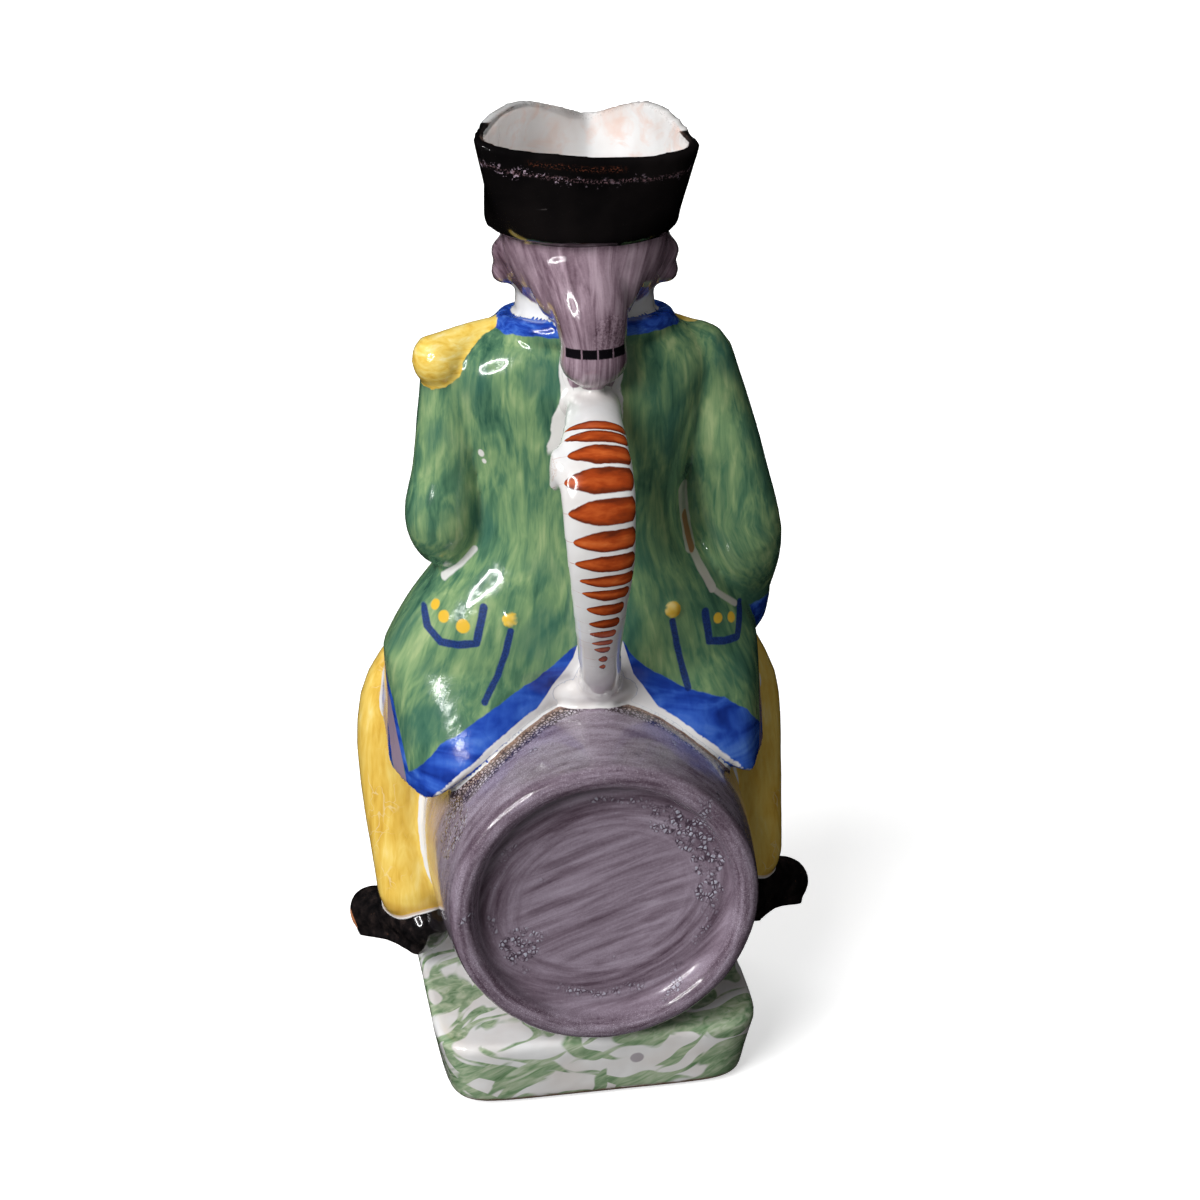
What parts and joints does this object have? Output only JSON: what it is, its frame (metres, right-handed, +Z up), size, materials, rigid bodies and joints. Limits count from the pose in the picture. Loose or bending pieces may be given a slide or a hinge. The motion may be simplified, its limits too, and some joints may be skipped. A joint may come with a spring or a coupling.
{
  "type": "faience jug",
  "caption": "Glazed figure jug: a coated figure astride a barrel on a square plinth, the cocked hat open as mouth and pouring lip, with a strap handle behind.",
  "frame": {"origin": "middle of the outer box at the underside of the plinth", "axes": "+Z up; the figure faces -Y and the handle is at +Y; the figure's left side is +X"},
  "size_m": [0.1616, 0.124, 0.3164],
  "materials": {
    "tin_glaze": "glossy hand-painted tin glaze"
  },
  "bodies": {
    "root": {"jug": "tin_glaze"}
  },
  "joints": []
}
